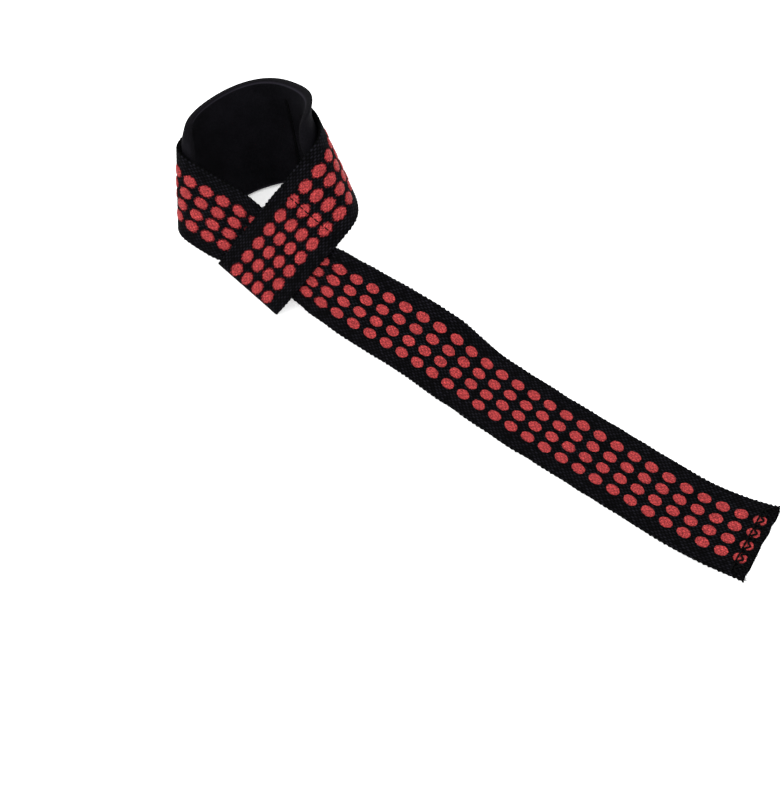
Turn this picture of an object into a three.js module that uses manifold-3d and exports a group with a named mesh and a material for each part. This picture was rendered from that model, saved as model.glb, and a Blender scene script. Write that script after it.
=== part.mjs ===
// Weightlifting strap: one webbing band whose own end is folded and sewn into a flat eye, with the
// tail drawn through that eye so that a wrist loop is left, and a foam pad inside the loop.
// Millimetres, +Z up, the tail along +X, and the table that the strap lies on at z = 0.
import * as THREE from 'three';
import { mergeVertices } from 'three/addons/utils/BufferGeometryUtils.js';
import Module from 'manifold-3d';

const wasm = await Module();
wasm.setup();

// Driving dimensions
const webbingWidth = 38;
const webbingThickness = 2;
const tailLength = 267.3;        // from the crossing to the cut end
const loopLength = 246.5;        // once round the wrist, from crossing to crossing
const padWidth = 58;
const padLength = 145;
const padThickness = 3.6;
const padShift = 6;              // from the middle of the far wall to the pad's own middle
const padCorner = 14;            // radius of the pad's corners in its own plane
const padBevel = 1.0;            // chamfer round the pad's edges
const clearance = 0.3;           // between two faces that touch
const eyeGather = 0.14;          // share of the width that the snug eye takes from the band inside it
const eyeHold = 11.4;            // run on each side of the crossing that stays gathered
const eyeSpread = 19;            // run in which the gathered band spreads out again
const eyeRelease = 6;            // run in which the two layers of the eye close up
const legSettle = 34;            // run in which leg B comes down to the line of the loop
const sewnTab = 8;               // what is left of the folded end past its stitches
const seamLength = 4;
const seamInset = 1;             // from the end of a row of stitches to the edge of the webbing
const curlRadius = 80;           // the cut end curls up off the table
const curlLength = 44;
const curlLean = 6;              // degrees that the curled end turns towards its near edge
const tailDrift = 4;             // sideways way from the eye to the line of the tail
const tailTurn = 30;             // run in which the tail's own lean takes over from the loop's

// Grip print: raised oval dots in rows along the outer face
const dotLength = 6.8;
const dotWidth = 4.9;
const dotHeight = 0.45;
const dotRows = 4;
const rowPitch = 6.65;
const columnPitch = 9.25;
const endMargin = 5.8;           // from the cut end to the first column of dots
const dotSides = 6;

// The wrist loop is a straight strip wound once round a squashed cone, so it is bent and never
// stretched. The cone's section one unit from its apex, and how the cone leans on the table:
const coneSpread = 0.2494;       // half the section from side to side
const coneDepth = 0.1705;        // half the section from the near wall to the far wall
const coneBelly = -0.050;        // flattens the near wall and fills out the far one
const crossingTurn = -8.5;       // degrees from the middle of the near wall to the crossing
const coneHeading = 142.4;       // degrees from +X, the way in which the open top leans
const coneRise = 52.05;           // degrees from the table up to the cone's axis
const coneRoll = -27.1;          // degrees that the section is turned about that axis

// How the tail settles from the eye to the table: what is left of its sideways lean, of the height
// of its lower edge and of its drift, at each share of the free tail
const tailSettle = [
  { along: 0.00, lean: 1.00, lift: 1.00, drift: 1.00 },
  { along: 0.11, lean: 0.82, lift: 0.34, drift: 0.42 },
  { along: 0.19, lean: 0.72, lift: 0.08, drift: 0.02 },
  { along: 0.27, lean: 0.50, lift: 0.00, drift: -0.26 },
  { along: 0.34, lean: 0.15, lift: 0.00, drift: -0.36 },
  { along: 0.41, lean: 0.00, lift: 0.00, drift: -0.24 },
  { along: 0.52, lean: 0.00, lift: 0.00, drift: -0.06 },
  { along: 1.00, lean: 0.00, lift: 0.00, drift: 0.00 },
];

// Where the stiff pad stands off the webbing, and how far its free upper edge leans out over the
// webbing's edge, or in where that is below zero, in shares of its own thickness
const padSections = [
  { along: 0.00, standOff: 0.10, flare: -0.20 },
  { along: 0.10, standOff: 0.10, flare: -0.60 },
  { along: 0.24, standOff: 0.10, flare: -0.30 },
  { along: 0.40, standOff: 0.00, flare: 0.00 },
  { along: 0.62, standOff: 0.00, flare: 0.60 },
  { along: 0.76, standOff: 0.10, flare: 1.30 },
  { along: 0.88, standOff: 0.50, flare: 0.60 },
  { along: 1.00, standOff: 1.20, flare: 0.00 },
];

// Mesh fineness
const coneSamples = 720;
const probe = 0.25;              // half the span over which a slope is measured
const tailSteps = 240;
const padColumns = 26;
const padCornerSteps = 4;
const padRows = 8;

const halfWidth = webbingWidth / 2;
const halfThickness = webbingThickness / 2;
const layerStep = webbingThickness + dotHeight + clearance;   // between the middles of two layers
const sewnStep = webbingThickness + clearance;                // the same where they are sewn

const radians = THREE.MathUtils.degToRad;
const between = THREE.MathUtils.lerp;

function evenly(from, to, count) {
  return Array.from({ length: count + 1 }, (_, i) => between(from, to, i / count));
}

function smooth(x) {
  return THREE.MathUtils.smoothstep(x, 0, 1);
}

// A column of a table at a share of the length, on a curve that passes smoothly through its rows and
// swings past none of them
function column(rows, name, share) {
  const at = THREE.MathUtils.clamp(share, rows[0].along, rows.at(-1).along);
  let i = rows.findIndex((row) => row.along >= at);
  i = Math.max(i, 1);
  const rise = (k) => (rows[k + 1][name] - rows[k][name]) / (rows[k + 1].along - rows[k].along);
  const slope = (k) => {
    const before = rise(Math.max(k - 1, 0));
    const after = rise(Math.min(k, rows.length - 2));
    return before * after > 0 ? (2 * before * after) / (before + after) : 0;
  };
  const [from, to] = [rows[i - 1], rows[i]];
  const run = to.along - from.along;
  const t = (at - from.along) / run;
  const ends = between(from[name], to[name], t * t * (3 - 2 * t));
  const slopes = slope(i - 1) * (1 - t) - slope(i) * t;
  return ends + run * t * (1 - t) * slopes;
}

// Wrist loop: a closed curve of directions from the cone's apex, measured by its own arc length
const axisUp = new THREE.Vector3(
  Math.cos(radians(coneRise)) * Math.cos(radians(coneHeading)),
  Math.cos(radians(coneRise)) * Math.sin(radians(coneHeading)),
  Math.sin(radians(coneRise)),
);
const nearSide = new THREE.Vector3(0, 0, 1)
  .addScaledVector(axisUp, -axisUp.z)
  .normalize()
  .applyAxisAngle(axisUp, radians(coneRoll));
const rightSide = axisUp.clone().cross(nearSide);

function coneDirection(turn) {
  const angle = turn + radians(crossingTurn);
  const out = coneDepth * Math.cos(angle) + coneBelly * Math.cos(2 * angle);
  return new THREE.Vector3()
    .addScaledVector(rightSide, -coneSpread * Math.sin(angle))
    .addScaledVector(nearSide, out)
    .addScaledVector(axisUp, -1)
    .normalize();
}

const coneArc = [0];
for (let i = 1; i <= coneSamples; i += 1) {
  const before = coneDirection((2 * Math.PI * (i - 1)) / coneSamples);
  const after = coneDirection((2 * Math.PI * i) / coneSamples);
  coneArc.push(coneArc[i - 1] + before.angleTo(after));
}
const coneAngle = coneArc[coneSamples];           // of the cone when it is rolled out flat
const apexDistance = loopLength / 2 / Math.tan(coneAngle / 2);

function directionAt(arc) {
  const wrapped = THREE.MathUtils.euclideanModulo(arc, coneAngle);
  let [low, high] = [0, coneSamples];
  while (high - low > 1) {
    const middle = (low + high) >> 1;
    if (coneArc[middle] <= wrapped) low = middle;
    else high = middle;
  }
  const part = (wrapped - coneArc[low]) / (coneArc[high] - coneArc[low]);
  return coneDirection((2 * Math.PI * (low + part)) / coneSamples);
}

// A point of the rolled-out strip, s along it from the middle of the far wall, w across it
function conePoint(s, w) {
  const reach = Math.hypot(apexDistance - w, s);
  const arc = Math.atan2(s, apexDistance - w) + coneAngle / 2;
  return directionAt(arc).multiplyScalar(reach);
}

function coneAlong(s, w) {
  return conePoint(s + probe, w).sub(conePoint(s - probe, w)).normalize();
}

function coneNormal(s, w) {
  const across = conePoint(s, w + probe).sub(conePoint(s, w - probe));
  return across.cross(coneAlong(s, w)).normalize();
}

function loopPoint(s, w, out) {
  return conePoint(s, w).addScaledVector(coneNormal(s, w), out);
}

// The eye: leg B's end lies over leg A, folds back beneath it and is sewn to itself. Leg A needs
// room up to the corner of the square in which the two legs cross.
const halfLoop = loopLength / 2;
const gatheredHalf = halfWidth * (1 - eyeGather);
const cornerReach = gatheredHalf / Math.sin(coneAngle) + halfWidth / Math.tan(coneAngle);
const foldStart = cornerReach + clearance;
const releaseStart = cornerReach + clearance;
const stitchPlace = releaseStart + eyeRelease;
const eyeCover = cornerReach + layerStep;
const underLength = foldStart + stitchPlace + sewnTab;

// Height of the two layers' middles over leg A's, at a distance from the crossing along the loop
function upperRise(distance) {
  const stitched = sewnStep / 2;
  if (distance < stitchPlace) {
    return between(layerStep, stitched, smooth((distance - releaseStart) / eyeRelease));
  }
  return stitched * (1 - smooth((distance - stitchPlace) / legSettle));
}

function lowerRise(distance) {
  return distance < stitchPlace ? -upperRise(distance) : upperRise(distance) - sewnStep;
}

// Leg A is gathered a little where the eye grips it
function gather(s) {
  const past = Math.abs(s + halfLoop) - eyeHold;
  return 1 - eyeGather * (1 - smooth(past / eyeSpread));
}

// Half the pad's width at a place along it, round its corners
function padHalf(s) {
  const intoCorner = Math.max(Math.abs(s) - (padLength / 2 - padCorner), 0);
  const drop = padCorner - Math.sqrt(Math.max(padCorner ** 2 - intoCorner ** 2, 0));
  return padWidth / 2 - drop;
}

// Pad: a straight strip just inside the loop, s along it from its own middle, share from its lower
// edge at -1 to its upper edge at 1, side from its inner face at -1 to its outer face at 1
function padPoint(s, share, side) {
  const isRim = Math.abs(share) === 1 || Math.abs(s) >= padLength / 2;
  const out = side * (padThickness / 2 - (isRim ? padBevel : 0));
  const w = share * padHalf(s);
  const place = s / padLength + 0.5;
  const lip = Math.max(w - halfWidth - clearance, 0) / (padWidth / 2 - halfWidth - clearance);
  const stand = column(padSections, 'standOff', place) - lip * lip * column(padSections, 'flare', place);
  const inside = halfThickness + clearance + padThickness / 2 + stand * padThickness;
  return loopPoint(s + padShift, w, out - inside);
}

// The band from where leg A enters the eye, round the loop, over the fold and to the sewn end: q
// along it from the cut end, w across it and out from its middle, still with the apex at zero
const loopBegin = tailLength - eyeCover;
const foldBegin = loopBegin + eyeCover + loopLength + foldStart;
const underBegin = foldBegin + Math.PI * layerStep;
const bandLength = underBegin + underLength;

function loopBand(q, w, out) {
  const turn = halfLoop + foldStart;
  if (q < foldBegin) {
    const s = q - foldBegin + turn;
    const rise = s > 0 ? upperRise(halfLoop - s) : 0;
    return loopPoint(s, w * gather(s), rise + out);
  }
  if (q < underBegin) {
    const bend = (q - foldBegin) / layerStep;
    const along = coneAlong(turn, w);
    return conePoint(turn, w)
      .addScaledVector(coneNormal(turn, w), (layerStep + out) * Math.cos(bend))
      .addScaledVector(along, (layerStep + out) * Math.sin(bend));
  }
  const s = turn - (q - underBegin);
  return loopPoint(s, w, lowerRise(halfLoop - s) - out);
}

// Grid lines across the band: its edges, then the borders between the rows of dots
const printHalf = (dotRows * rowPitch) / 2;
const rowLines = [-halfWidth, ...evenly(-printHalf, printHalf, dotRows), halfWidth];

// Grid lines along the band: three for each column of dots, and plain ones past the last column
const columnCount = Math.floor((bandLength - endMargin) / columnPitch + 0.5);
const columnPlaces = Array.from({ length: columnCount }, (_, i) => endMargin + i * columnPitch);
const columnLines = columnPlaces.flatMap((q) => [q - columnPitch / 2, q]);
columnLines.push(columnPlaces.at(-1) + columnPitch / 2);
const alongLines = [0, ...columnLines];
if (bandLength - columnLines.at(-1) > clearance) alongLines.push(bandLength);

// The loop is let down until its lowest corner touches the table
const loopCorners = alongLines.filter((q) => q >= loopBegin).flatMap((q) => [
  loopBand(q, -halfWidth, -halfThickness),
  loopBand(q, -halfWidth, halfThickness),
  loopBand(q, halfWidth, -halfThickness),
  loopBand(q, halfWidth, halfThickness),
]);
const padLowerEdge = evenly(-padLength / 2, padLength / 2, padColumns).flatMap((s) => [
  padPoint(s, -1, -1),
  padPoint(s, -1, 1),
]);
const lowest = Math.min(...[...loopCorners, ...padLowerEdge].map((point) => point.z));
const seat = new THREE.Vector3(0, 0, -lowest);

// Tail: starts where leg A comes out from under the eye
const tailStart = -(halfLoop + eyeCover);
const freeTail = loopBegin;
const startPoint = loopPoint(tailStart, 0, 0).add(seat);
const startAcross = loopPoint(tailStart, probe, 0).sub(loopPoint(tailStart, -probe, 0)).normalize();
const startLean = Math.asin(startAcross.z);

function lowerEdgeDrop(lean) {
  return halfWidth * Math.sin(lean) + halfThickness * Math.cos(lean);
}
const startLift = startPoint.z - lowerEdgeDrop(startLean);

function tailSection(distance) {
  const share = distance / freeTail;
  const curl = Math.max(distance - (freeTail - curlLength), 0) / curlRadius;
  const endLean = radians(curlLean) * smooth((curl * curlRadius) / curlLength);
  const lean = startLean * column(tailSettle, 'lean', share) + endLean;
  const lift = startLift * column(tailSettle, 'lift', share) + curlRadius * (1 - Math.cos(curl));
  const drift = tailDrift * (1 - column(tailSettle, 'drift', share));
  return { lean, z: lift + lowerEdgeDrop(lean), y: startPoint.y + drift };
}

const tailStations = [];
let x = startPoint.x;
for (let i = 0; i <= tailSteps; i += 1) {
  const distance = (freeTail * i) / tailSteps;
  const here = tailSection(distance);
  if (i > 0) {
    const step = freeTail / tailSteps;
    const before = tailStations[i - 1].centre;
    x += Math.sqrt(Math.max(step ** 2 - (here.y - before.y) ** 2 - (here.z - before.z) ** 2, 0));
  }
  tailStations.push({ lean: here.lean, centre: new THREE.Vector3(x, here.y, here.z) });
}
tailStations.forEach((station, i) => {
  const before = tailStations[Math.max(i - 1, 0)].centre;
  const after = tailStations[Math.min(i + 1, tailSteps)].centre;
  const along = after.clone().sub(before).normalize();
  const settled = new THREE.Vector3(0, Math.cos(station.lean), Math.sin(station.lean));
  const turn = smooth((i * freeTail) / tailSteps / tailTurn);
  station.across = startAcross.clone().lerp(settled, turn);
  station.across.addScaledVector(along, -station.across.dot(along)).normalize();
  station.out = along.clone().cross(station.across);
});

function tailPoint(distance, w, out) {
  const place = THREE.MathUtils.clamp((distance / freeTail) * tailSteps, 0, tailSteps);
  const i = Math.min(Math.floor(place), tailSteps - 1);
  const [from, to] = [tailStations[i], tailStations[i + 1]];
  const part = place - i;
  const across = from.across.clone().lerp(to.across, part).normalize();
  const outward = from.out.clone().lerp(to.out, part).normalize();
  return from.centre.clone().lerp(to.centre, part)
    .addScaledVector(across, w)
    .addScaledVector(outward, out);
}

function bandPoint(q, w, out) {
  if (q >= loopBegin) return loopBand(q, w, out).add(seat);
  const distance = loopBegin - q;
  return tailPoint(distance, w * gather(tailStart - distance), out);
}

// A mesh under construction: points are shared by their place, faces are wound to point outwards
class Skin {
  constructor() {
    this.points = [];
    this.faces = [];
  }

  point(vector) {
    this.points.push(vector);
    return this.points.length - 1;
  }

  triangle(a, b, c) {
    this.faces.push(a, b, c);
  }

  quad(a, b, c, d) {
    this.triangle(a, b, c);
    this.triangle(a, c, d);
  }

  geometry() {
    const geometry = new THREE.BufferGeometry();
    const places = this.points.flatMap((p) => [p.x, p.y, p.z]);
    geometry.setAttribute('position', new THREE.Float32BufferAttribute(places, 3));
    geometry.setIndex(this.faces);
    return mergeVertices(geometry, 1e-4);
  }
}

// A closed slab between two faces of a surface: surface(u, w, out), u and w as lists of grid lines.
// The cells of its upper face that isOpen names are left for something else to fill.
function slabSkin(surface, us, ws, low, high, isOpen = () => false) {
  const skin = new Skin();
  const grid = [high, low].map((out) => us.map((u) => ws.map((w) => skin.point(surface(u, w, out)))));
  const [top, bottom] = grid;
  const [lastU, lastW] = [us.length - 1, ws.length - 1];
  for (let i = 0; i < lastU; i += 1) {
    for (let j = 0; j < lastW; j += 1) {
      if (!isOpen(i, j)) skin.quad(top[i][j], top[i][j + 1], top[i + 1][j + 1], top[i + 1][j]);
      skin.quad(bottom[i][j], bottom[i + 1][j], bottom[i + 1][j + 1], bottom[i][j + 1]);
    }
    skin.quad(top[i][0], top[i + 1][0], bottom[i + 1][0], bottom[i][0]);
    skin.quad(top[i + 1][lastW], top[i][lastW], bottom[i][lastW], bottom[i + 1][lastW]);
  }
  for (let j = 0; j < lastW; j += 1) {
    skin.quad(top[0][j + 1], top[0][j], bottom[0][j], bottom[0][j + 1]);
    skin.quad(top[lastU][j], top[lastU][j + 1], bottom[lastU][j + 1], bottom[lastU][j]);
  }
  return { skin, top };
}

// One cell of the print: the ring of corners round it, filled up to the raised dot in its middle
function dotCell(skin, q, w, ring) {
  const around = (out) => Array.from({ length: dotSides }, (_, i) => {
    const angle = (2 * Math.PI * i) / dotSides;
    const dq = (Math.cos(angle) * dotLength) / 2;
    const dw = (Math.sin(angle) * dotWidth) / 2;
    return skin.point(bandPoint(q + dq, w + dw, out));
  });
  const foot = around(halfThickness);
  const rim = around(halfThickness + dotHeight);
  const crown = skin.point(bandPoint(q, w, halfThickness + dotHeight));
  for (let i = 0; i < dotSides; i += 1) {
    const next = (i + 1) % dotSides;
    skin.triangle(ring[i], foot[i], foot[next]);
    skin.triangle(ring[i], foot[next], ring[next]);
    skin.quad(foot[i], rim[i], rim[next], foot[next]);
    skin.triangle(rim[i], crown, rim[next]);
  }
}

function buildBand() {
  const hasDots = columnPlaces.map((q) => q < foldBegin || q > underBegin);
  const isPrinted = (i, j) => j >= 1 && j <= dotRows && hasDots[Math.floor((i - 1) / 2)];
  const { skin, top } = slabSkin(
    bandPoint, alongLines, rowLines, -halfThickness, halfThickness, isPrinted,
  );
  columnPlaces.forEach((q, k) => {
    if (!hasDots[k]) return;
    const i = 1 + 2 * k;
    for (let j = 1; j <= dotRows; j += 1) {
      const ring = [
        top[i + 2][j + 1], top[i + 1][j + 1], top[i][j + 1],
        top[i][j], top[i + 1][j], top[i + 2][j],
      ];
      dotCell(skin, q, (rowLines[j] + rowLines[j + 1]) / 2, ring);
    }
  });
  return skin.geometry();
}

// The stitches that close the eye, as a bar from the middle of one layer to the middle of the other
function buildSeam() {
  const place = halfLoop - stitchPlace - seamLength / 2;
  const surface = (s, w, out) => {
    const middle = (upperRise(halfLoop - s) + lowerRise(halfLoop - s)) / 2;
    return loopPoint(s, w, middle + out).add(seat);
  };
  const us = evenly(place - seamLength / 2, place + seamLength / 2, 1);
  const ws = evenly(seamInset - halfWidth, halfWidth - seamInset, 4);
  return slabSkin(surface, us, ws, -layerStep / 2, layerStep / 2).skin.geometry();
}

// Pad: a slab of foam with round corners and a chamfer along its edges
function buildPad() {
  const straight = padLength / 2 - padCorner;
  const corner = evenly(0, Math.PI / 2, padCornerSteps).slice(1);
  const after = corner.map((turn) => straight + padCorner * Math.sin(turn));
  const before = after.map((s) => -s).reverse();
  const ss = [...before, ...evenly(-straight, straight, padColumns), ...after];
  const surface = (s, share, side) => padPoint(s, share, side).add(seat);
  return slabSkin(surface, ss, evenly(-1, 1, padRows), -1, 1).skin.geometry();
}

function toSolid(geometry) {
  return new wasm.Manifold(new wasm.Mesh({
    numProp: 3,
    vertProperties: new Float32Array(geometry.attributes.position.array),
    triVerts: new Uint32Array(geometry.index.array),
  }));
}

function fromSolid(solid) {
  const mesh = solid.getMesh();
  const geometry = new THREE.BufferGeometry();
  geometry.setAttribute('position', new THREE.Float32BufferAttribute(mesh.vertProperties, 3));
  geometry.setIndex(Array.from(mesh.triVerts));
  return geometry;
}

const wovenCotton = new THREE.MeshStandardMaterial({ color: 0x17161a, roughness: 0.9, metalness: 0 });
const foamRubber = new THREE.MeshStandardMaterial({ color: 0x1c1a20, roughness: 0.7, metalness: 0 });

const strapGeometry = fromSolid(toSolid(buildBand()).add(toSolid(buildSeam())));
const padGeometry = buildPad();

// The origin is under the middle of the strap, on the table
const box = new THREE.Box3();
for (const geometry of [strapGeometry, padGeometry]) {
  geometry.computeBoundingBox();
  box.union(geometry.boundingBox);
}
const centre = box.getCenter(new THREE.Vector3());

function part(name, geometry, material) {
  geometry.translate(-centre.x, -centre.y, -box.min.z);
  geometry.computeVertexNormals();
  const mesh = new THREE.Mesh(geometry, material);
  mesh.name = name;
  return mesh;
}

const strap = new THREE.Group();
strap.name = 'weightlifting_strap';
strap.add(part('webbing_strap', strapGeometry, wovenCotton));
strap.add(part('wrist_pad', padGeometry, foamRubber));

export default strap;
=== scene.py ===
# %% [markdown]
# # A padded weightlifting strap
#
# The real strap is one band of black cotton webbing, 38 mm wide. Its far end is folded back under
# itself and sewn, which leaves a flat eye, and the tail is drawn through that eye, so that the band
# closes into a loop for the wrist. A sheet of foam lines the loop, and rows of raised silicone dots
# on the band's outer face keep the tail from slipping on a bar.
#
# Everything here is worked out in millimetres from a few real sizes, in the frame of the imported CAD
# part, and turned to metres when a mesh is made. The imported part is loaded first, because each piece
# of this scene stands for one of its solids and has to lie where that solid lies.

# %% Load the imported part
import math

import bmesh
import bpy
import numpy as np
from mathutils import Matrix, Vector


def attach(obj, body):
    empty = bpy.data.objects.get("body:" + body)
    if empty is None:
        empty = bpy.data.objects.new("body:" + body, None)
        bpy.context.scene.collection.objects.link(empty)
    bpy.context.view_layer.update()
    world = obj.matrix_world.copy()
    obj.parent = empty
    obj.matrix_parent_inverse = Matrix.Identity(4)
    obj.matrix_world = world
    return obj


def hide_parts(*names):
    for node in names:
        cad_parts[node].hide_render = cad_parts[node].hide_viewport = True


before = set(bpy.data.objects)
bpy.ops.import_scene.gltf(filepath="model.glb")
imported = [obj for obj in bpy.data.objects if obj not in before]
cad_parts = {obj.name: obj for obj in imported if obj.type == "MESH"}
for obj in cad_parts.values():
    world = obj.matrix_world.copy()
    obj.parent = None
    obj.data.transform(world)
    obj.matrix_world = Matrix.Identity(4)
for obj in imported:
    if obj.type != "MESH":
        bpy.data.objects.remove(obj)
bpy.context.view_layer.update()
MM = 0.001
print("solids in the frame:", sorted(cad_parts))

# %% [markdown]
# ## Sizes
#
# These are the sizes of the construction model, so that the fine surfaces below lie inside the plain
# solids. A strap is measured along its band: q runs from the cut end of the tail, w across the band
# from its middle, and out from the middle of its thickness towards the printed face.

# %% Sizes of the band, the eye, the tail and the pad, in millimetres
WEBBING_WIDTH = 38.0
WEBBING_THICKNESS = 2.0
TAIL_LENGTH = 267.3
LOOP_LENGTH = 246.5
PAD_WIDTH = 58.0
PAD_LENGTH = 145.0
PAD_THICKNESS = 3.6
PAD_SHIFT = 6.0
PAD_CORNER = 14.0
CLEARANCE = 0.3
EYE_GATHER = 0.14
EYE_HOLD = 11.4
EYE_SPREAD = 19.0
EYE_RELEASE = 6.0
LEG_SETTLE = 34.0
SEWN_TAB = 8.0
CURL_RADIUS = 80.0
CURL_LENGTH = 44.0
CURL_LEAN = math.radians(6.0)
TAIL_DRIFT = 4.0
TAIL_TURN = 30.0
DOT_LENGTH = 6.8
DOT_WIDTH = 4.9
DOT_HEIGHT = 0.45
DOT_ROWS = 4
ROW_PITCH = 6.65
COLUMN_PITCH = 9.25
END_MARGIN = 5.8

HALF_WIDTH = WEBBING_WIDTH / 2
HALF_THICKNESS = WEBBING_THICKNESS / 2
HALF_LOOP = LOOP_LENGTH / 2
LAYER_STEP = WEBBING_THICKNESS + DOT_HEIGHT + CLEARANCE
SEWN_STEP = WEBBING_THICKNESS + CLEARANCE


def smooth(x):
    """0 below 0, 1 above 1 and 3x^2 - 2x^3 between them, so it starts and ends level."""
    x = np.clip(x, 0, 1)
    return x * x * (3 - 2 * x)


def unit(vectors):
    """Each vector divided by its own length."""
    return vectors / np.linalg.norm(vectors, axis=-1, keepdims=True)


def column(table, name, share):
    """A column of a table at a share of the length, on a cubic through its rows whose slope in each
    row is the harmonic mean of the slopes on both sides, or 0 where the column turns back."""
    along, value = np.array(table["along"]), np.array(table[name])
    rise = np.diff(value) / np.diff(along)
    before = np.concatenate([rise[:1], rise])
    after = np.concatenate([rise, rise[-1:]])
    keeps_on = before * after > 0
    total = np.where(keeps_on, before + after, 1)
    slope = np.where(keeps_on, 2 * before * after / total, 0)
    share = np.clip(share, along[0], along[-1])
    i = np.clip(np.searchsorted(along, share), 1, len(along) - 1)
    run = along[i] - along[i - 1]
    t = (share - along[i - 1]) / run
    ends = value[i - 1] + (value[i] - value[i - 1]) * t * t * (3 - 2 * t)
    return ends + run * t * (1 - t) * (slope[i - 1] * (1 - t) - slope[i] * t)


# %% [markdown]
# ## The wrist loop
#
# Webbing bends but hardly stretches, so a loop of it can only take shapes that unroll flat. The one
# that a wrist loop takes when its two legs cross is a strip wound round a squashed cone. The strip
# keeps its width and length all the way, and its two ends cross by themselves.

# %% A straight strip wound once round a squashed cone
# Where the apex is when the loop's lowest corner touches the table and the box is centred on it
APEX = np.array([-204.9047, 65.1166, 164.8903])
CONE_SPREAD = 0.2494
CONE_DEPTH = 0.1705
CONE_BELLY = -0.050
CROSSING_TURN = math.radians(-8.5)
CONE_HEADING = math.radians(142.4)
CONE_RISE = math.radians(52.05)
CONE_ROLL = math.radians(-27.1)
CONE_SAMPLES = 720
PROBE = 0.25

axis_up = np.array([
    math.cos(CONE_RISE) * math.cos(CONE_HEADING),
    math.cos(CONE_RISE) * math.sin(CONE_HEADING),
    math.sin(CONE_RISE),
])
level = unit(np.array([0, 0, 1]) - axis_up * axis_up[2])
near_side = level * math.cos(CONE_ROLL) + np.cross(axis_up, level) * math.sin(CONE_ROLL)
right_side = np.cross(axis_up, near_side)


def cone_direction(turn):
    """The direction from the apex at a turn round the cone, whose section is a squashed circle."""
    angle = np.asarray(turn) + CROSSING_TURN
    depth = CONE_DEPTH * np.cos(angle) + CONE_BELLY * np.cos(2 * angle)
    side = -CONE_SPREAD * np.sin(angle)
    return unit(side[..., None] * right_side + depth[..., None] * near_side - axis_up)


cone_turns = np.linspace(0, 2 * math.pi, CONE_SAMPLES + 1)
cone_steps = np.linalg.norm(np.diff(cone_direction(cone_turns), axis=0), axis=1)
cone_arcs = np.concatenate([[0], np.cumsum(2 * np.arcsin(cone_steps / 2))])
CONE_ANGLE = cone_arcs[-1]
APEX_DISTANCE = HALF_LOOP / math.tan(CONE_ANGLE / 2)


def cone_point(s, w):
    """The strip's point s along it from the middle of the far wall and w across it: its distance
    from the apex and its angle there are those of the flat strip, measured round the cone."""
    arc = np.arctan2(s, APEX_DISTANCE - w) + CONE_ANGLE / 2
    turn = np.interp(np.mod(arc, CONE_ANGLE), cone_arcs, cone_turns)
    return APEX + cone_direction(turn) * np.hypot(APEX_DISTANCE - w, s)[..., None]


def cone_along(s, w):
    return unit(cone_point(s + PROBE, w) - cone_point(s - PROBE, w))


def cone_normal(s, w):
    across = cone_point(s, w + PROBE) - cone_point(s, w - PROBE)
    return unit(np.cross(across, cone_along(s, w)))


def loop_point(s, w, out):
    return cone_point(s, w) + cone_normal(s, w) * np.asarray(out)[..., None]


print(f"the cone rolls out to {math.degrees(CONE_ANGLE):.1f} degrees")

# %% [markdown]
# ## The eye
#
# Past the loop, the band lies over its own start, turns back beneath it on a small half circle and
# is stitched to itself. The stitches press both layers together, and the band inside the eye is a
# little gathered, because the eye is sewn tight round it.

# %% The band from the eye, round the loop and back under itself
GATHERED_HALF = HALF_WIDTH * (1 - EYE_GATHER)
CORNER_REACH = GATHERED_HALF / math.sin(CONE_ANGLE) + HALF_WIDTH / math.tan(CONE_ANGLE)
FOLD_START = CORNER_REACH + CLEARANCE
STITCH_PLACE = FOLD_START + EYE_RELEASE
EYE_COVER = CORNER_REACH + LAYER_STEP
TURN_PLACE = HALF_LOOP + FOLD_START
LOOP_BEGIN = TAIL_LENGTH - EYE_COVER
FOLD_BEGIN = TAIL_LENGTH + LOOP_LENGTH + FOLD_START
UNDER_BEGIN = FOLD_BEGIN + math.pi * LAYER_STEP
BAND_LENGTH = UNDER_BEGIN + FOLD_START + STITCH_PLACE + SEWN_TAB


def upper_rise(distance):
    """Height of the outer layer over the loop's own line, at a distance from the crossing."""
    stitched = SEWN_STEP / 2
    closing = smooth((distance - FOLD_START) / EYE_RELEASE)
    over_eye = LAYER_STEP + (stitched - LAYER_STEP) * closing
    past_eye = stitched * (1 - smooth((distance - STITCH_PLACE) / LEG_SETTLE))
    return np.where(distance < STITCH_PLACE, over_eye, past_eye)


def lower_rise(distance):
    """Height of the folded layer, as far below the loop's line as the other one is above it."""
    upper = upper_rise(distance)
    return np.where(distance < STITCH_PLACE, -upper, upper - SEWN_STEP)


def gather(s):
    """Share of its width that the band keeps: least where the eye holds it."""
    past = np.abs(s + HALF_LOOP) - EYE_HOLD
    return 1 - EYE_GATHER * (1 - smooth(past / EYE_SPREAD))


def loop_band(q, w, out):
    """The loop up to the fold, then a half circle about the fold's line, then the layer beneath."""
    s = q - FOLD_BEGIN + TURN_PLACE
    rise = np.where(s > 0, upper_rise(HALF_LOOP - s), 0)
    legs = loop_point(s, w * gather(s), rise + out)
    bend = np.clip((q - FOLD_BEGIN) / LAYER_STEP, 0, math.pi)
    turn = np.full_like(w, TURN_PLACE)
    reach = LAYER_STEP + out
    fold = cone_point(turn, w)
    fold = fold + cone_normal(turn, w) * (reach * np.cos(bend))[..., None]
    fold = fold + cone_along(turn, w) * (reach * np.sin(bend))[..., None]
    back = TURN_PLACE - (q - UNDER_BEGIN)
    under = loop_point(back, w, lower_rise(HALF_LOOP - back) - out)
    folded = np.where((q < UNDER_BEGIN)[..., None], fold, under)
    return np.where((q < FOLD_BEGIN)[..., None], legs, folded)


print(f"the band is {BAND_LENGTH:.1f} mm long, its eye folds at {FOLD_BEGIN:.1f} mm")

# %% [markdown]
# ## The tail
#
# The tail leaves the eye standing on its lower edge, like the loop, and settles until it lies flat.
# Its cut end curls up again. A short table gives what is left of the lean, the height and the
# sideways drift at each share of the way, and a smooth curve joins its rows.

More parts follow.
